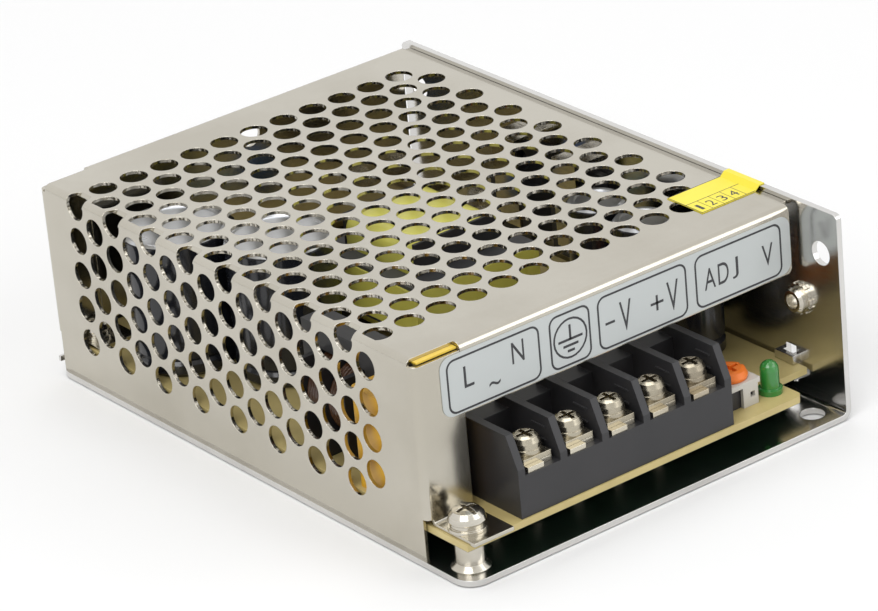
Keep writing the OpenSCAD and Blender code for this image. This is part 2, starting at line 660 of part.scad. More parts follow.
// common mode choke: two windings on a lying bobbin, with a closed core that passes over them
choke_hub = 6.4;
module choke_frame() {
    flange = 1;
    color([0.12, 0.12, 0.12]) translate([choke_x, choke_y, 0]) difference() {
        union() {
            for (y = [-choke_l / 2 + yoke_w, -flange / 2, choke_l / 2 - yoke_w - flange]) {
                translate([-choke_d / 2 - 0.5, y, board_top]) cube([choke_d + 1, flange, choke_d + 2.6]);
            }
            translate([0, choke_l / 2 - yoke_w, choke_z]) rotate([90, 0, 0])
                cylinder(d = choke_hub + 1.6, h = choke_l - 2 * yoke_w);
        }
        translate([-choke_hub / 2 + 0.6, -choke_l, choke_z - choke_hub / 2 + 0.6])
            cube([choke_hub - 1.2, 2 * choke_l, choke_hub - 1.2]);
    }
}
module choke_core() {
    hub = choke_hub - 1.4;
    top = board_top + choke_d + 2.8;
    color([0.22, 0.22, 0.23]) translate([choke_x, choke_y, 0]) union() {
        translate([-hub / 2, -choke_l / 2, choke_z - hub / 2]) cube([hub, choke_l, hub]);
        for (y = [-choke_l / 2, choke_l / 2 - yoke_w + slack])
            translate([-hub / 2, y, choke_z - hub / 2]) cube([hub, yoke_w - slack, top + 4 - choke_z + hub / 2]);
        translate([-hub / 2, -choke_l / 2, top]) cube([hub, choke_l, 4]);
    }
}
module choke_windings() {
    flange = 1;
    coil = choke_l / 2 - yoke_w - 1.5 * flange - 2 * slack;
    turns = 6;
    color([0.30, 0.15, 0.08]) for (y = [flange / 2 + slack, -flange / 2 - slack - coil])
        translate([choke_x, choke_y + y, choke_z]) rotate([-90, 0, 0]) rotate_extrude() polygon([
            [choke_hub / 2 + 0.9, 0], for (i = [0 : turns - 1]) each [[choke_d / 2 - 0.3, coil * i / turns],
            [choke_d / 2, coil * (i + 0.3) / turns], [choke_d / 2, coil * (i + 0.7) / turns]],
            [choke_d / 2 - 0.3, coil], [choke_hub / 2 + 0.9, coil]]);
}
// transformer: a taped winding on a lying bobbin, in a core that is taped round its edge
core_hub = 7;
module transformer_core() {
    w = wind_w + 0.8 + 2 * leg_w;
    color([0.22, 0.22, 0.24]) translate([core_x, core_y, core_z - core_t / 2]) linear_extrude(core_t) union() {
        for (s = [-1, 1]) {
            translate([s * (w - leg_w) / 2 - leg_w / 2, -core_half - yoke_w])
                square([leg_w, 2 * (core_half + yoke_w)]);
            translate([-w / 2, s * (core_half + yoke_w / 2) - yoke_w / 2]) square([w, yoke_w]);
        }
        translate([-core_hub / 2, -core_half - yoke_w / 2]) square([core_hub, 2 * core_half + yoke_w]);
    }
}
module transformer_tape() {
    w = wind_w + 0.8 + 2 * leg_w;
    l = 2 * (core_half + yoke_w);
    tape = 0.25;
    color([0.93, 0.86, 0.18]) translate([core_x, core_y, core_z - core_t / 2 + 0.6]) linear_extrude(core_t - 1.2)
        difference() {
            square([w + 2 * tape, l + 2 * tape], center = true);
            square([w, l], center = true);
        }
}
module transformer_bobbin() {
    core_reach = core_half + yoke_w + 1;
    flange = 0.5;
    foot_h = core_z - core_t / 2 - slack - board_top;
    color([0.10, 0.10, 0.11]) translate([core_x, core_y, 0]) difference() {
        union() {
            // end flanges
            for (y = [-core_half + slack, core_half - flange - slack]) translate([-wind_w / 2, y, board_top])
                cube([wind_w, flange, wind_top]);
            // tube round the core's middle leg
            translate([-core_hub / 2 - 0.8, -core_half + slack, core_z - core_t / 2 - 0.8])
                cube([core_hub + 1.6, 2 * core_half - 2 * slack, core_t + 1.6]);
            // pin rails under the two yokes
            for (y = [-core_half - yoke_w, core_half - 0.5]) translate([-wind_w / 2, y, board_top])
                cube([wind_w, yoke_w + 0.5, foot_h]);
        }
        translate([-core_hub / 2 - slack, -core_reach, core_z - core_t / 2 - slack])
            cube([core_hub + 2 * slack, 2 * core_reach, core_t + 2 * slack]);
    }
}
module transformer_winding() {
    z0 = core_z - wind_top / 2 + 1.5;
    z1 = board_top + wind_top - slack;
    l = 2 * core_half - 1 - 4 * slack;
    color([0.93, 0.86, 0.18]) translate([core_x, core_y + l / 2, 0]) rotate([90, 0, 0]) linear_extrude(l)
        difference() {
            translate([-wind_w / 2, z0]) rounded(wind_w, z1 - z0, 3);
            translate([-core_hub / 2 - 0.9, core_z - core_t / 2 - 0.9]) square([core_hub + 1.8, core_t + 1.8]);
        }
}
module output_capacitors() {
    color([0.30, 0.30, 0.33]) for (i = [0 : 2]) translate([out_x, out_y + i * (out_cap_d + 1.5), board_top])
        can(out_cap_d, out_cap_h);
}
module output_coil_core() {
    color([0.30, 0.30, 0.30]) translate([coil_x, coil_y, board_top]) union() {
        cylinder(d = coil_d, h = 1.4);
        cylinder(d = 4.5, h = 14);
        translate([0, 0, 12.6]) cylinder(d = coil_d, h = 1.4);
    }
}
module output_coil_winding() {
    color([0.72, 0.38, 0.14]) translate([coil_x, coil_y, board_top + 1.5]) rotate_extrude()
        polygon([[2.35, 0], [coil_d / 2 - 0.65, 0], for (i = [0 : 10]) each [[coil_d / 2 - 0.25, i + 0.3],
            [coil_d / 2 - 0.25, i + 0.7], [coil_d / 2 - 0.55, i + 1]], [2.35, 11]]);
}
module input_fuse() {
    color([0.85, 0.88, 0.85]) translate([fuse_x, fuse_y, board_top + 4]) rotate([0, 90, 0])
        cylinder(d = fuse_d, h = fuse_l, center = true);
}
module fuse_clips() {
    arm = fuse_d + 1.6;
    color([0.78, 0.76, 0.70]) for (s = [-1, 1])
        translate([fuse_x + s * (fuse_l / 2 - 2), fuse_y, board_top]) difference() {
            translate([-1.8, -arm / 2, 0]) cube([3.6, arm, 6]);
            translate([-3, 0, 4]) rotate([0, 90, 0]) cylinder(d = fuse_d + 0.2, h = 6);
            translate([-3, -2, 4]) cube([6, 4, 4]);
            translate([-3, -fuse_d / 2, 0.6]) cube([6, fuse_d, 1.6]);
        }
}
module thermistor() {
    color([0.20, 0.35, 0.25]) union() {
        translate([therm_x, therm_y, board_top + 7]) rotate([90, 0, 0]) cylinder(d = 10, h = 4, center = true);
        leads(pair(therm_x, therm_y, 5), board_top + 4);
    }
}
module bridge_rectifier() {
    color([0.12, 0.12, 0.12]) union() {
        along_y(bridge_y - 1.8, bridge_y + 1.8) translate([bridge_x, board_top + 3])
            polygon([[-9, 0], [9, 0], [9, 11], [6, 14], [-9, 14]]);
        leads(bridge_pts, board_top + 3.5);
    }
}
// three-legged power package standing flat against the wall at y
module power_package(y) {
    leads(package_pts(y), board_top + 4.2);
    translate([wall_in - 0.1, y, board_top]) difference() {
        union() {
            block(-1.4, 0, -5, 5, 4, 19.5);
            block(-4.6, -1.3, -5, 5, 4, 13);
        }
        translate([-6, 0, 16.5]) rotate([0, 90, 0]) cylinder(d = 3.6, h = 8);
    }
}
// spring clip over a package, hooked on the wall's inside
module package_clip(y) {
    x = wall_in - 4.7;
    block(x - 0.6, x, y - 3, y + 3, board_top + 6, board_top + 22);
    block(x - 0.6, wall_in, y - 3, y + 3, board_top + 21.4, board_top + 22);
    block(wall_in - 0.6, wall_in, y - 3, y + 3, board_top + 20, board_top + 22);
}
module switch_transistor() {
    color([0.14, 0.14, 0.15]) power_package(switch_y);
}
module output_diode() {
    color([0.14, 0.14, 0.15]) power_package(diode_y);
}
module package_clips() {
    color([0.70, 0.70, 0.70]) for (y = [switch_y, diode_y]) package_clip(y);
}
module safety_capacitors() {
    color([0.25, 0.45, 0.70]) for (p = disc_at) union() {
        translate([p[0], p[1], board_top + 5.4]) rotate([90, 0, 0]) cylinder(d = disc_d, h = 3.6, center = true);
        leads(pair(p[0], p[1], 5), board_top + 4);
    }
}
// moulded chip body standing over the board on its leads
module dip(at, n) {
    l = n * 2.54 - 0.4;
    difference() {
        translate([at[0] - 3.2, at[1] - l / 2, board_top + 0.7]) cube([6.4, l, 3.3]);
        translate([at[0], at[1] - l / 2, board_top + 4]) rotate([-90, 0, 0]) cylinder(d = 1.6, h = 1);
    }
    leads(dip_pts(at, n), board_top + 2.6);
    for (p = dip_pts(at, n)) translate([min(p[0], at[0]), p[1] - 0.5, board_top + 2.1])
        cube([abs(p[0] - at[0]), 1, 0.4]);
}
module optocoupler() {
    color([0.10, 0.10, 0.10]) dip(opto_at, 2);
}
module control_chip() {
    color([0.10, 0.10, 0.10]) dip(chip_at, 4);
}
module power_resistors() {
    color([0.45, 0.62, 0.70]) for (p = resistor_at) union() {
        translate([p[0], p[1], board_top + 1.8]) rotate([0, 90, 0]) rotate_extrude()
            polygon([[0, -4.5], [1.4, -4.5], [1.6, -3.8], [1.6, -2.6], [1.3, -2.2], [1.3, 2.2],
                [1.6, 2.6], [1.6, 3.8], [1.4, 4.5], [0, 4.5]]);
        translate([p[0] - 6.35, p[1], board_top + 1.8]) rotate([0, 90, 0]) cylinder(d = lead_d, h = 12.7, $fn = 16);
        leads(pair(p[0], p[1], 12.7), board_top + 1.8);
    }
}

base_chassis();
cover();
front_label();
number_sticker();
insulation_strip();
insulation_sheet();
standoffs();
board_screws();
wall_nut();
circuit_board();
terminal_block();
terminal_plates();
terminal_clamp(1);  // terminal_clamp_1
terminal_clamp(2);  // terminal_clamp_2
terminal_clamp(3);  // terminal_clamp_3
terminal_clamp(4);  // terminal_clamp_4
terminal_clamp(5);  // terminal_clamp_5
terminal_screw(1);  // terminal_screw_1
terminal_screw(2);  // terminal_screw_2
terminal_screw(3);  // terminal_screw_3
terminal_screw(4);  // terminal_screw_4
terminal_screw(5);  // terminal_screw_5
trimmer_body();
trimmer_rim();
trimmer_rotor();
indicator_lamp();
mains_capacitors();
film_capacitor();
choke_core();
choke_windings();
choke_frame();
transformer_core();
transformer_bobbin();
transformer_winding();
transformer_tape();
output_capacitors();
output_coil_core();
output_coil_winding();
input_fuse();
fuse_clips();
thermistor();
bridge_rectifier();
switch_transistor();
output_diode();
package_clips();
safety_capacitors();
optocoupler();
control_chip();
power_resistors();
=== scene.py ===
from math import radians, pi

import bpy
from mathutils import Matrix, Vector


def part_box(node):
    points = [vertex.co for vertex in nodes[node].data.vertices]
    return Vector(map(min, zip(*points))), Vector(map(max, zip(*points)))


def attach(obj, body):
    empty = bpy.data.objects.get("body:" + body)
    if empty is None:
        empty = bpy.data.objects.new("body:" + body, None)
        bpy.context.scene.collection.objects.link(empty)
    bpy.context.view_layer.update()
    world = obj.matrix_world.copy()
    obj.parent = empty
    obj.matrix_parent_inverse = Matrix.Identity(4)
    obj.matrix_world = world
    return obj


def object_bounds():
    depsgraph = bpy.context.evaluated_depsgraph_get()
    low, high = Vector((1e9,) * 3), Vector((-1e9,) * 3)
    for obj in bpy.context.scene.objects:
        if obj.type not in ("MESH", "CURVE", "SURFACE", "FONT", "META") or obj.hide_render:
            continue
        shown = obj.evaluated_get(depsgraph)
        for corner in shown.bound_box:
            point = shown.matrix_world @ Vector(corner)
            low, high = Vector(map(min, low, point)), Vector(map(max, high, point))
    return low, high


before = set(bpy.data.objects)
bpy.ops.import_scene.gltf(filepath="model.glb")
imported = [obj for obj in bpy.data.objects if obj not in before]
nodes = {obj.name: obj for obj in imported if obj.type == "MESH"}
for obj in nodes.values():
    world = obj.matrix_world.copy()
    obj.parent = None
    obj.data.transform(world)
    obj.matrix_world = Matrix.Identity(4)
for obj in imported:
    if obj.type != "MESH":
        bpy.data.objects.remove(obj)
mm = 0.001
cadLow, cadHigh = [list(corner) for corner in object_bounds()]
print("frame loaded:", len(nodes), "nodes")


# ---------- camera ----------

cameraView = {
    "place": (-0.41245, -0.56932, 0.34632),
    "turn": (64.741, 4.829, -38.228),  # degrees
    "lens": 196.58,
}


def addCamera():
    data = bpy.data.cameras.new("viewCamera")
    data.lens = cameraView["lens"]
    data.sensor_width = 36
    data.clip_start = 0.01
    camera = bpy.data.objects.new("viewCamera", data)
    camera.location = cameraView["place"]
    camera.rotation_euler = [radians(a) for a in cameraView["turn"]]
    bpy.context.scene.collection.objects.link(camera)
    bpy.context.scene.camera = camera


addCamera()


# ---------- small modelling helpers ----------

def clearSelection():
    if bpy.context.object and bpy.context.object.mode != "OBJECT":
        bpy.ops.object.mode_set(mode="OBJECT")
    bpy.ops.object.select_all(action="DESELECT")


def applyPlace(piece):
    clearSelection()
    piece.select_set(True)
    bpy.context.view_layer.objects.active = piece
    bpy.ops.object.transform_apply(location=True, rotation=True, scale=True)


def joinPieces(pieces, name):
    clearSelection()
    for piece in pieces:
        piece.select_set(True)
    bpy.context.view_layer.objects.active = pieces[0]
    bpy.ops.object.join()
    joined = bpy.context.object
    joined.name = name
    joined.data.name = name
    return joined


def useMaterial(piece, material):
    piece.data.materials.clear()
    piece.data.materials.append(material)


# ---------- materials ----------

def newTree(name):
    material = bpy.data.materials.new(name)
    material.use_nodes = True
    tree = material.node_tree
    return material, tree, tree.nodes["Principled BSDF"]


def noiseNode(tree, vector, scale, detail=3.0, rough=0.55):
    node = tree.nodes.new("ShaderNodeTexNoise")
    node.inputs["Scale"].default_value = scale
    node.inputs["Detail"].default_value = detail
    node.inputs["Roughness"].default_value = rough
    if vector:
        tree.links.new(vector, node.inputs["Vector"])
    return node.outputs["Fac"]


def mixNumbers(tree, kind, a, b):
    node = tree.nodes.new("ShaderNodeMath")
    node.operation = kind
    for socket, value in zip(node.inputs, (a, b)):
        if isinstance(value, (int, float)):
            socket.default_value = value
        else:
            tree.links.new(value, socket)
    return node.outputs[0]


def rangeNode(tree, value, low, high, outLow, outHigh):
    node = tree.nodes.new("ShaderNodeMapRange")
    for socket, number in zip(("From Min", "From Max", "To Min", "To Max"), (low, high, outLow, outHigh)):
        if isinstance(number, (int, float)):
            node.inputs[socket].default_value = number
        else:
            tree.links.new(number, node.inputs[socket])
    tree.links.new(value, node.inputs["Value"])
    return node.outputs["Result"]


def groupTree(name, inputs, outputs):
    tree = bpy.data.node_groups.new(name, "ShaderNodeTree")
    for label, value in inputs.items():
        kind = "NodeSocketColor" if isinstance(value, tuple) else "NodeSocketFloat"
        socket = tree.interface.new_socket(name=label, in_out="INPUT", socket_type=kind)
        socket.default_value = value
    for label, kind in outputs.items():
        tree.interface.new_socket(name=label, in_out="OUTPUT", socket_type=kind)
    return tree, tree.nodes.new("NodeGroupInput"), tree.nodes.new("NodeGroupOutput")


def buildRolledGroup():
    # rolled sheet: long faint streaks, cloudy stains and small scuffs
    tree, entry, exit = groupTree(
        "rolledSheet",
        {"Clean": (0.5, 0.5, 0.5, 1), "Stained": (0.4, 0.4, 0.4, 1), "Rough Low": 0.25, "Rough High": 0.45,
         "Streak": 1.0},
        {"Color": "NodeSocketColor", "Roughness": "NodeSocketFloat", "Height": "NodeSocketFloat"})
    coord = tree.nodes.new("ShaderNodeTexCoord").outputs["Object"]
    stretch = tree.nodes.new("ShaderNodeMapping")
    stretch.inputs["Scale"].default_value = (14, 1, 14)
    tree.links.new(coord, stretch.inputs["Vector"])
    streak = noiseNode(tree, stretch.outputs["Vector"], 260, 2)
    cloud = noiseNode(tree, coord, 34, 5, 0.6)
    speck = noiseNode(tree, coord, 900, 2)
    blend = tree.nodes.new("ShaderNodeMix")
    blend.data_type = "RGBA"
    tree.links.new(rangeNode(tree, cloud, 0.42, 0.66, 0, 1), blend.inputs["Factor"])
    tree.links.new(entry.outputs["Clean"], blend.inputs["A"])
    tree.links.new(entry.outputs["Stained"], blend.inputs["B"])
    tree.links.new(blend.outputs["Result"], exit.inputs["Color"])
    halfStreak = mixNumbers(tree, "MULTIPLY", streak, 0.5)
    worn = mixNumbers(tree, "ADD", halfStreak, mixNumbers(tree, "MULTIPLY", cloud, 0.5))
    tree.links.new(rangeNode(tree, worn, 0.35, 0.65, entry.outputs["Rough Low"], entry.outputs["Rough High"]),
                   exit.inputs["Roughness"])
    lines = mixNumbers(tree, "MULTIPLY", streak, entry.outputs["Streak"])
    tree.links.new(mixNumbers(tree, "ADD", lines, mixNumbers(tree, "MULTIPLY", speck, 0.35)),
                   exit.inputs["Height"])
    return tree


def buildGrainGroup():
    # moulded or coated surface: fine grain over soft colour changes
    tree, entry, exit = groupTree(
        "fineGrain",
        {"Main": (0.5, 0.5, 0.5, 1), "Shade": (0.4, 0.4, 0.4, 1), "Rough Low": 0.4, "Rough High": 0.6,
         "Scale": 1200.0, "Patch": 60.0},
        {"Color": "NodeSocketColor", "Roughness": "NodeSocketFloat", "Height": "NodeSocketFloat"})
    coord = tree.nodes.new("ShaderNodeTexCoord").outputs["Object"]
    fine = tree.nodes.new("ShaderNodeTexNoise")
    tree.links.new(coord, fine.inputs["Vector"])
    tree.links.new(entry.outputs["Scale"], fine.inputs["Scale"])
    patch = tree.nodes.new("ShaderNodeTexNoise")
    tree.links.new(coord, patch.inputs["Vector"])
    tree.links.new(entry.outputs["Patch"], patch.inputs["Scale"])
    patch.inputs["Detail"].default_value = 4
    blend = tree.nodes.new("ShaderNodeMix")
    blend.data_type = "RGBA"
    tree.links.new(rangeNode(tree, patch.outputs["Fac"], 0.38, 0.68, 0, 1), blend.inputs["Factor"])
    tree.links.new(entry.outputs["Main"], blend.inputs["A"])
    tree.links.new(entry.outputs["Shade"], blend.inputs["B"])
    tree.links.new(blend.outputs["Result"], exit.inputs["Color"])
    tree.links.new(rangeNode(tree, patch.outputs["Fac"], 0.3, 0.7, entry.outputs["Rough Low"],
                             entry.outputs["Rough High"]), exit.inputs["Roughness"])
    tree.links.new(fine.outputs["Fac"], exit.inputs["Height"])
    return tree


rolledGroup = buildRolledGroup()
grainGroup = buildGrainGroup()


def buildHeightMask():
    # 1 above a level and 0 below it, over a short step
    tree, entry, exit = groupTree("heightMask", {"Level": 0.0, "Step": 0.00002}, {"Mask": "NodeSocketFloat"})
    coord = tree.nodes.new("ShaderNodeTexCoord").outputs["Object"]
    split = tree.nodes.new("ShaderNodeSeparateXYZ")
    tree.links.new(coord, split.inputs["Vector"])
    over = mixNumbers(tree, "SUBTRACT", split.outputs["Z"], entry.outputs["Level"])
    tree.links.new(rangeNode(tree, over, 0, entry.outputs["Step"], 0, 1), exit.inputs["Mask"])
    return tree


heightGroup = buildHeightMask()


def heightMask(tree, level):
    group = tree.nodes.new("ShaderNodeGroup")
    group.node_tree = heightGroup
    group.inputs["Level"].default_value = level
    return group.outputs["Mask"]


def blendColours(tree, factor, a, b):
    node = tree.nodes.new("ShaderNodeMix")
    node.data_type = "RGBA"
    for label, value in (("Factor", factor), ("A", a), ("B", b)):
        socket = node.inputs[label]
        if isinstance(value, tuple):
            socket.default_value = (*value, 1)
        else:
            tree.links.new(value, socket)
    return node.outputs["Result"]


def sourceOf(shader, label):
    return shader.inputs[label].links[0].from_socket


def softEdges(tree, shader, height, strength, distance, radius):
    # rounds sharp edges a little for the light, under the surface's own bump
    bump = tree.nodes.new("ShaderNodeBump")
    bump.inputs["Strength"].default_value = strength
    bump.inputs["Distance"].default_value = distance
    tree.links.new(height, bump.inputs["Height"])
    if radius:
        edge = tree.nodes.new("ShaderNodeBevel")
        edge.samples = 6
        edge.inputs["Radius"].default_value = radius
        tree.links.new(edge.outputs["Normal"], bump.inputs["Normal"])
    tree.links.new(bump.outputs["Normal"], shader.inputs["Normal"])


def sheetMetal(name, clean, stained, rough, streak=1.0, strength=0.15, edge=0.15 * mm):
    material, tree, shader = newTree(name)
    group = tree.nodes.new("ShaderNodeGroup")
    group.node_tree = rolledGroup
    group.inputs["Clean"].default_value = (*clean, 1)
    group.inputs["Stained"].default_value = (*stained, 1)
    group.inputs["Rough Low"].default_value = rough[0]
    group.inputs["Rough High"].default_value = rough[1]
    group.inputs["Streak"].default_value = streak
    tree.links.new(group.outputs["Color"], shader.inputs["Base Color"])
    tree.links.new(group.outputs["Roughness"], shader.inputs["Roughness"])
    shader.inputs["Metallic"].default_value = 1.0
    softEdges(tree, shader, group.outputs["Height"], strength, 0.02 * mm, edge)
    return material


def grained(name, main, shade, rough, scale=1200.0, patch=60.0, strength=0.2, edge=0.12 * mm, metallic=0.0,
            coat=0.0, clear=0.0):
    material, tree, shader = newTree(name)
    group = tree.nodes.new("ShaderNodeGroup")
    group.node_tree = grainGroup
    group.inputs["Main"].default_value = (*main, 1)
    group.inputs["Shade"].default_value = (*shade, 1)
    group.inputs["Rough Low"].default_value = rough[0]
    group.inputs["Rough High"].default_value = rough[1]
    group.inputs["Scale"].default_value = scale
    group.inputs["Patch"].default_value = patch
    tree.links.new(group.outputs["Color"], shader.inputs["Base Color"])
    tree.links.new(group.outputs["Roughness"], shader.inputs["Roughness"])
    shader.inputs["Metallic"].default_value = metallic
    shader.inputs["Coat Weight"].default_value = coat
    shader.inputs["Coat Roughness"].default_value = 0.08
    shader.inputs["Transmission Weight"].default_value = clear
    softEdges(tree, shader, group.outputs["Height"], strength, 0.03 * mm, edge)
    return material


def twoSidedBoard(material):
    # bare laminate on top and at the edges, dark green mask on the underside
    tree = material.node_tree
    shader = tree.nodes["Principled BSDF"]
    mask = heightMask(tree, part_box("circuit_board")[0][2] + 0.03 * mm)
    mixed = blendColours(tree, mask, (0.010, 0.035, 0.018), sourceOf(shader, "Base Color"))
    tree.links.new(mixed, shader.inputs["Base Color"])
    return material


def bareTop(material, level, colour, rough):
    # a sleeve that ends short of the top and leaves the can's metal bare
    tree = material.node_tree
    shader = tree.nodes["Principled BSDF"]
    mask = heightMask(tree, level)
    mixed = blendColours(tree, mask, sourceOf(shader, "Base Color"), colour)
    tree.links.new(mixed, shader.inputs["Base Color"])
    tree.links.new(mask, shader.inputs["Metallic"])
    added = mixNumbers(tree, "MULTIPLY", mask, rough)
    tree.links.new(mixNumbers(tree, "ADD", sourceOf(shader, "Roughness"), added), shader.inputs["Roughness"])
    return material


sleeveEnd = 0.45 * mm  # how far a sleeve ends below the top of its can
finishes = {
    "cover": sheetMetal("coverSheet", (0.56, 0.53, 0.46), (0.50, 0.47, 0.40), (0.13, 0.22), 0.8, 0.08),
    "chassis": sheetMetal("chassisSheet", (0.70, 0.69, 0.67), (0.60, 0.59, 0.57), (0.14, 0.24), 0.6, 0.08),
    "plated": sheetMetal("platedSteel", (0.66, 0.63, 0.56), (0.46, 0.42, 0.34), (0.10, 0.26), 0.4, 0.2),
    "aged": sheetMetal("agedPlating", (0.46, 0.42, 0.33), (0.26, 0.22, 0.16), (0.18, 0.38), 0.5, 0.3),
    "tinned": sheetMetal("tinnedBrass", (0.62, 0.58, 0.48), (0.44, 0.38, 0.28), (0.2, 0.38), 0.4, 0.2),
    "label": grained("labelFilm", (0.56, 0.59, 0.585), (0.52, 0.55, 0.545), (0.36, 0.46), 500, 30, 0.05),
    "sticker": grained("stickerFilm", (0.88, 0.76, 0.05), (0.84, 0.70, 0.04), (0.30, 0.42), 800, 90, 0.08),
    "film": grained("insulationFilm", (0.80, 0.56, 0.06), (0.70, 0.46, 0.05), (0.28, 0.40)),
    "card": grained("insulationCard", (0.70, 0.70, 0.64), (0.62, 0.62, 0.55), (0.5, 0.6)),
    "ink": grained("printInk", (0.030, 0.030, 0.034), (0.045, 0.045, 0.048), (0.45, 0.6), 900, 200,
                   0.05),
    "board": twoSidedBoard(grained("boardLaminate", (0.60, 0.49, 0.21), (0.50, 0.40, 0.17), (0.32, 0.48),
                                   2200, 110, 0.15)),
    "black": grained("blackPlastic", (0.020, 0.020, 0.022), (0.028, 0.027, 0.029), (0.38, 0.52), 1500,
                     80, 0.2),
    "pale": grained("palePlastic", (0.60, 0.58, 0.53), (0.50, 0.48, 0.43), (0.4, 0.5)),
    "orange": grained("orangePlastic", (0.86, 0.20, 0.02), (0.75, 0.15, 0.02), (0.28, 0.4)),
    "lamp": grained("lampLens", (0.05, 0.36, 0.06), (0.04, 0.30, 0.05), (0.08, 0.14), 300, 40, 0.02,
                    edge=0.1 * mm, coat=0.6, clear=0.35),
    "bigCan": bareTop(grained("darkSleeve", (0.016, 0.018, 0.024), (0.012, 0.013, 0.018), (0.14, 0.22),
                              coat=0.3),
                      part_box("mains_capacitors")[1][2] - sleeveEnd, (0.60, 0.61, 0.63), 0.12),
    "smallCan": bareTop(grained("smallSleeve", (0.018, 0.018, 0.022), (0.013, 0.013, 0.016), (0.16, 0.24),
                                coat=0.3),
                        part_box("output_capacitors")[1][2] - sleeveEnd, (0.55, 0.56, 0.58), 0.12),
    "yellow": grained("yellowMoulding", (0.74, 0.42, 0.03), (0.66, 0.36, 0.03), (0.3, 0.4)),
    "ferrite": grained("ferriteCore", (0.045, 0.045, 0.048), (0.06, 0.06, 0.062), (0.4, 0.55), 1800, 90,
                       0.3),
    "copper": sheetMetal("copperWire", (0.62, 0.26, 0.08), (0.45, 0.17, 0.05), (0.22, 0.36)),
    "darkWire": grained("darkWire", (0.11, 0.045, 0.02), (0.07, 0.03, 0.014), (0.2, 0.32), 700, 60, 0.1,
                        coat=0.3),
    "tape": grained("yellowTape", (0.82, 0.78, 0.16), (0.74, 0.68, 0.12), (0.2, 0.32), 500, 50, 0.05),
    "glass": grained("fuseGlass", (0.85, 0.9, 0.88), (0.8, 0.86, 0.84), (0.05, 0.1), clear=0.9),
    "green": grained("greenCoat", (0.05, 0.13, 0.06), (0.035, 0.10, 0.045), (0.3, 0.45)),
    "blue": grained("blueCoat", (0.05, 0.14, 0.36), (0.04, 0.11, 0.30), (0.3, 0.4)),
    "lacquer": grained("paleLacquer", (0.25, 0.42, 0.50), (0.20, 0.36, 0.42), (0.3, 0.4)),
}

nodeFinish = {
    "base_chassis": "chassis", "cover": "cover", "front_label": "label", "number_sticker": "sticker",
    "insulation_strip": "film", "insulation_sheet": "card", "standoffs": "plated", "board_screws": "plated",
    "wall_nut": "plated", "circuit_board": "board", "terminal_block": "black", "terminal_plates": "tinned",
    "trimmer_body": "black", "trimmer_rim": "pale", "trimmer_rotor": "orange", "indicator_lamp": "lamp",
    "mains_capacitors": "bigCan",
    "film_capacitor": "yellow", "choke_core": "ferrite", "choke_windings": "darkWire", "choke_frame": "black",
    "transformer_core": "ferrite",
    "transformer_bobbin": "black", "transformer_winding": "tape",
    "transformer_tape": "tape",
    "output_capacitors": "smallCan", "output_coil_core": "ferrite", "output_coil_winding": "copper",
    "input_fuse": "glass", "fuse_clips": "tinned", "thermistor": "green", "bridge_rectifier": "black",
    "switch_transistor": "black", "output_diode": "black", "package_clips": "plated",
    "safety_capacitors": "blue", "optocoupler": "black", "control_chip": "black", "power_resistors": "lacquer",
}
for name, node in nodes.items():
    # the terminal clamps and screws share one finish
    useMaterial(node, finishes[nodeFinish.get(name, "aged")])
print("finishes set")


# ---------- print on the label ----------

labelPrint = {
    "line": 0.34 * mm,
    "depth": 0.02 * mm,
    "boxTop": 32.9 * mm,
    "boxBottom": 23.8 * mm,
    "corner": 1.6 * mm,
    "boxes": [(-32.6 * mm, -14.5 * mm), (-12.6 * mm, -4.5 * mm), (-3.0 * mm, 15.1 * mm),
              (16.8 * mm, 34.8 * mm)],
    # sign, x, z, height and width, all in mm
    "marks": [("L", -28.4, 29.2, 3.6, 1.9), ("~", -23.6, 26.2, 0.8, 2.2), ("N", -18.8, 29.75, 3.6, 2.4),
              ("V", 2.55, 28.15, 5.1, 2.35), ("V", 12.15, 28.1, 5.1, 2.35), ("A", 19.8, 28.3, 3.6, 2.3),
              ("D", 22.6, 28.3, 3.6, 2.2), ("J", 25.1, 28.3, 3.6, 1.25), ("V", 31.85, 28.15, 3.7, 2.3)],
    "minus": (-0.6, 28.0, 1.9),  # x, z and length in mm
    "plus": (8.9, 28.0, 2.6),
    "stroke": 0.42 * mm,
    "earthRing": 6.8 * mm,
    "earthBars": [(4.8, -0.2), (3.0, -1.2), (1.4, -2.1)],  # length and rise from the middle in mm
    "earthStem": (2.5, 1.0),
}


def standUp(piece, x, y, z):
    # turns a flat piece from the ground plane to face the terminals and sets it at its place
    piece.rotation_euler = (pi / 2, 0, 0)
    piece.location = (x, y, z)
    applyPlace(piece)
    return piece


def flatRing(width, height, corner, line, depth):
    clearSelection()
    bpy.ops.mesh.primitive_plane_add(size=1)
    piece = bpy.context.object
    piece.scale = (width, height, 1)
    applyPlace(piece)
    bpy.ops.object.mode_set(mode="EDIT")
    bpy.ops.mesh.bevel(offset=corner, segments=6, affect="VERTICES")
    bpy.ops.mesh.select_all(action="SELECT")
    bpy.ops.mesh.inset(thickness=line, use_boundary=True)
    bpy.ops.mesh.delete(type="ONLY_FACE")
    bpy.ops.mesh.select_all(action="SELECT")
    bpy.ops.mesh.extrude_region_move(TRANSFORM_OT_translate={"value": (0, 0, depth)})
    bpy.ops.mesh.select_all(action="SELECT")
    bpy.ops.mesh.normals_make_consistent(inside=False)
    bpy.ops.object.mode_set(mode="OBJECT")
    return piece


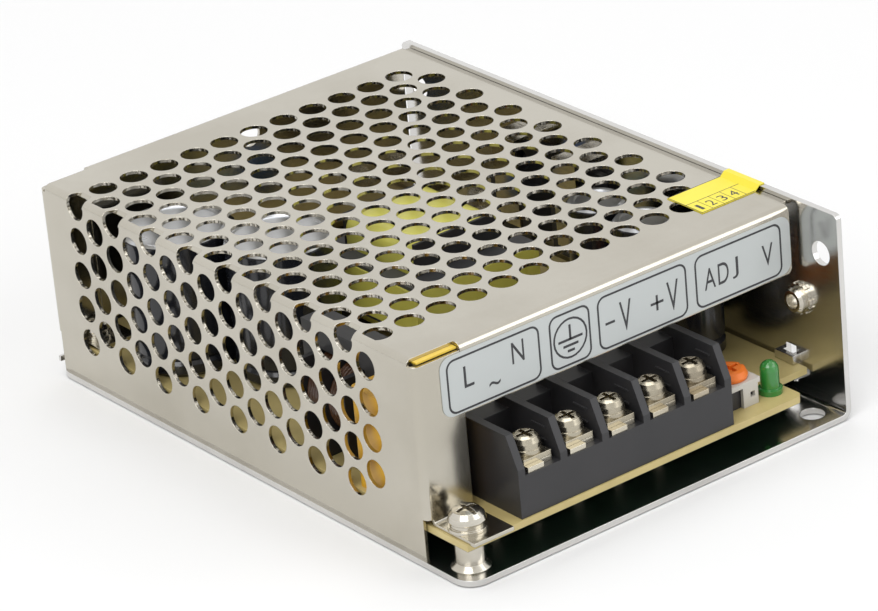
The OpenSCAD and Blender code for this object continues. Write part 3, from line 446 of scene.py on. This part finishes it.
def flatBar(width, height, depth):
    clearSelection()
    bpy.ops.mesh.primitive_plane_add(size=1)
    piece = bpy.context.object
    piece.scale = (width, height, 1)
    applyPlace(piece)
    bpy.ops.object.mode_set(mode="EDIT")
    bpy.ops.mesh.extrude_region_move(TRANSFORM_OT_translate={"value": (0, 0, depth)})
    bpy.ops.mesh.select_all(action="SELECT")
    bpy.ops.mesh.normals_make_consistent(inside=False)
    bpy.ops.object.mode_set(mode="OBJECT")
    return piece


def flatMark(words, height, width, depth):
    # one letter or figure, fitted to its height and width
    clearSelection()
    bpy.ops.object.text_add()
    piece = bpy.context.object
    piece.data.body = words
    piece.data.size = height
    piece.data.align_x = "CENTER"
    piece.data.align_y = "CENTER"
    piece.data.extrude = depth / 2
    bpy.ops.object.convert(target="MESH")
    piece = bpy.context.object
    bpy.ops.object.origin_set(type="ORIGIN_GEOMETRY", center="BOUNDS")
    piece.location = (0, 0, 0)
    piece.scale = (width / piece.dimensions.x, height / piece.dimensions.y, 1)
    applyPlace(piece)
    return piece


def printLabel():
    low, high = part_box("front_label")
    face = low[1]
    depth = labelPrint["depth"]
    middle = (labelPrint["boxTop"] + labelPrint["boxBottom"]) / 2
    tall = labelPrint["boxTop"] - labelPrint["boxBottom"]
    parts = []
    for left, right in labelPrint["boxes"]:
        ring = flatRing(right - left, tall, labelPrint["corner"], labelPrint["line"], depth)
        parts.append(standUp(ring, (left + right) / 2, face, middle))
    for words, x, z, height, width in labelPrint["marks"]:
        parts.append(standUp(flatMark(words, height * mm, width * mm, depth), x * mm, face, z * mm))
    bar = labelPrint["stroke"]
    for x, z, span in (labelPrint["minus"], labelPrint["plus"]):
        parts.append(standUp(flatBar(span * mm, bar, depth), x * mm, face, z * mm))
    x, z, span = labelPrint["plus"]
    parts.append(standUp(flatBar(bar, span * mm, depth), x * mm, face, z * mm))
    # earth sign in its circle
    left, right = labelPrint["boxes"][1]
    centre = (left + right) / 2
    ring = labelPrint["earthRing"]
    circle = flatRing(ring, ring, ring / 2 - 0.01 * mm, labelPrint["line"], depth)
    parts.append(standUp(circle, centre, face, middle))
    for width, rise in labelPrint["earthBars"]:
        parts.append(standUp(flatBar(width * mm, bar, depth), centre, face, middle + rise * mm))
    tall, rise = labelPrint["earthStem"]
    parts.append(standUp(flatBar(bar, tall * mm, depth), centre, face, middle + rise * mm))
    marks = joinPieces(parts, "label_print")
    useMaterial(marks, finishes["ink"])
    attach(marks, "case")


printLabel()


# ---------- print on the sticker ----------

stickerPrint = {
    "line": 0.12 * mm,
    "depth": 0.015 * mm,
    "cell": 2.35 * mm,
    "ruled": 0.48,  # part of the length that is ruled into cells
    "row": 0.23,  # place of the figures along the length
    "sink": 0.001 * mm,
    "digits": [("1", 0.6), ("2", 1.2), ("3", 1.2), ("4", 1.35)],  # figure and its width in mm
    "size": 2.1 * mm,
    "level": 35.0 * mm,
    "reach": 11.2 * mm,  # flat width before the sticker turns over the wall's edge
}


def printSticker():
    low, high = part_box("number_sticker")
    top = stickerPrint["level"]
    depth = stickerPrint["depth"]
    line = stickerPrint["line"]
    wide = stickerPrint["reach"]
    long = high[1] - low[1]
    parts = []

    def place(piece, x, y):
        piece.location = (x, y, top - stickerPrint["sink"])
        applyPlace(piece)
        parts.append(piece)

    ruled = long * stickerPrint["ruled"]
    for y in (low[1] + line / 2, high[1] - line / 2, low[1] + ruled):
        place(flatBar(wide, line, depth), low[0] + wide / 2, y)
    place(flatBar(line, long, depth), low[0] + line / 2, low[1] + long / 2)
    for number, (digit, width) in enumerate(stickerPrint["digits"]):
        x = low[0] + stickerPrint["cell"] * (number + 1)
        place(flatBar(line * 0.7, ruled, depth), x, low[1] + ruled / 2)
        place(flatMark(digit, stickerPrint["size"], width * mm, depth), x - stickerPrint["cell"] / 2,
              low[1] + long * stickerPrint["row"])
    marks = joinPieces(parts, "sticker_print")
    useMaterial(marks, finishes["ink"])
    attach(marks, "case")


printSticker()
print("print added")


# ---------- floor, world and lamps ----------

studio = {
    "floorSize": 6.0,
    "floorColour": (0.86, 0.86, 0.86),
    "worldDiffuse": 0.55,
    "worldShown": 1.0,
    "key": {"place": (-0.9, -0.5, 1.1), "size": 0.9, "power": 9.0},
    "fill": {"place": (0.7, -1.0, 0.7), "size": 0.9, "power": 4.0},
    "top": {"place": (0.1, 0.3, 1.4), "size": 1.0, "power": 7.0},
}


def rayMask(tree):
    paths = tree.nodes.new("ShaderNodeLightPath")
    shown = mixNumbers(tree, "MAXIMUM", paths.outputs["Is Camera Ray"], paths.outputs["Is Glossy Ray"])
    return mixNumbers(tree, "MAXIMUM", shown, paths.outputs["Is Transmission Ray"])


def addWorld():
    world = bpy.data.worlds.new("studioWorld")
    world.use_nodes = True
    bpy.context.scene.world = world
    tree = world.node_tree
    shade = tree.nodes["Background"]
    shade.inputs["Color"].default_value = (1, 1, 1, 1)
    tree.links.new(rangeNode(tree, rayMask(tree), 0, 1, studio["worldDiffuse"], studio["worldShown"]),
                   shade.inputs["Strength"])


def addFloor():
    clearSelection()
    bpy.ops.mesh.primitive_plane_add(size=studio["floorSize"], location=(0, 0, cadLow[2] - 0.0002))
    floor = bpy.context.object
    floor.name = "studioFloor"
    applyPlace(floor)
    material, tree, shader = newTree("floorPaper")
    shader.inputs["Base Color"].default_value = (*studio["floorColour"], 1)
    shader.inputs["Roughness"].default_value = 0.9
    shader.inputs["Specular IOR Level"].default_value = 0.1
    coord = tree.nodes.new("ShaderNodeTexCoord").outputs["Object"]
    grain = noiseNode(tree, coord, 500, 2)
    softEdges(tree, shader, grain, 0.02, 0.05 * mm, 0)
    useMaterial(floor, material)


def addLamp(name, facts):
    data = bpy.data.lights.new(name, "AREA")
    data.size = facts["size"]
    data.energy = facts["power"]
    lamp = bpy.data.objects.new(name, data)
    lamp.location = facts["place"]
    aim = -lamp.location
    lamp.rotation_euler = aim.to_track_quat("-Z", "Y").to_euler()
    bpy.context.scene.collection.objects.link(lamp)


addWorld()
addFloor()
for lampName in ("key", "fill", "top"):
    addLamp(lampName + "Lamp", studio[lampName])
bpy.context.scene.view_settings.view_transform = "Standard"
print("studio added")
